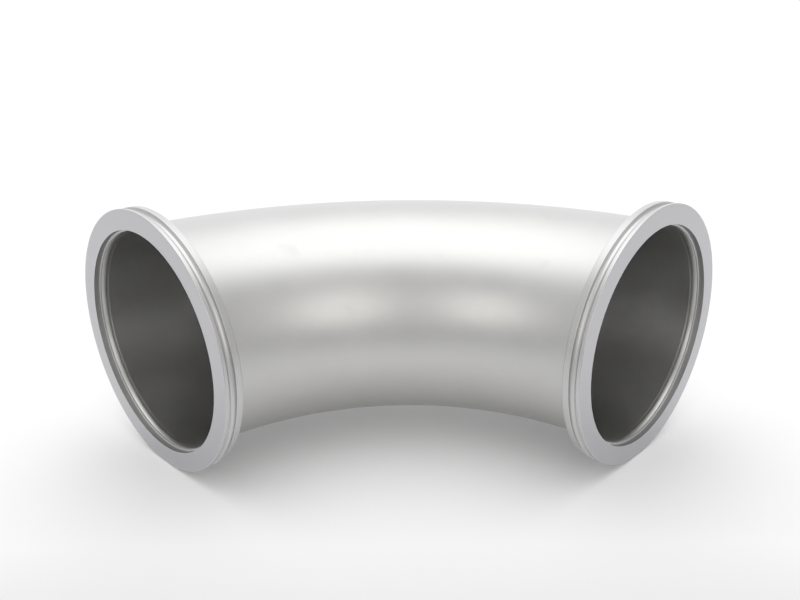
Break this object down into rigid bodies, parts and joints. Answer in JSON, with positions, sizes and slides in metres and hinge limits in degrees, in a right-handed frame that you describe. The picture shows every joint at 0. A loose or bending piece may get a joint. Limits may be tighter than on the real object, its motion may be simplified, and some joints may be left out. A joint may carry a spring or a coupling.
{
  "type": "pipe elbow",
  "caption": "Ninety-degree stainless vacuum pipe elbow with a grooved clamp flange on each end.",
  "frame": {"origin": "middle of port A's sealing face, on that port's axis", "axes": "-X points straight out of port A, -Y points straight out of port B, and +Z is square to the flat plane in which the tube bends; the two port axes cross at (0.237, 0, 0)"},
  "size_m": [0.327, 0.327, 0.18],
  "materials": {
    "blasted_steel": "fine bead-blasted matte",
    "turned_steel": "fine turned satin",
    "weld_metal": "bright rippled weld"
  },
  "bodies": {
    "root": {"elbow_tube": "blasted_steel", "flange_a": "turned_steel", "flange_b": "turned_steel", "weld_bead_a": "weld_metal", "weld_bead_b": "weld_metal"}
  },
  "joints": []
}
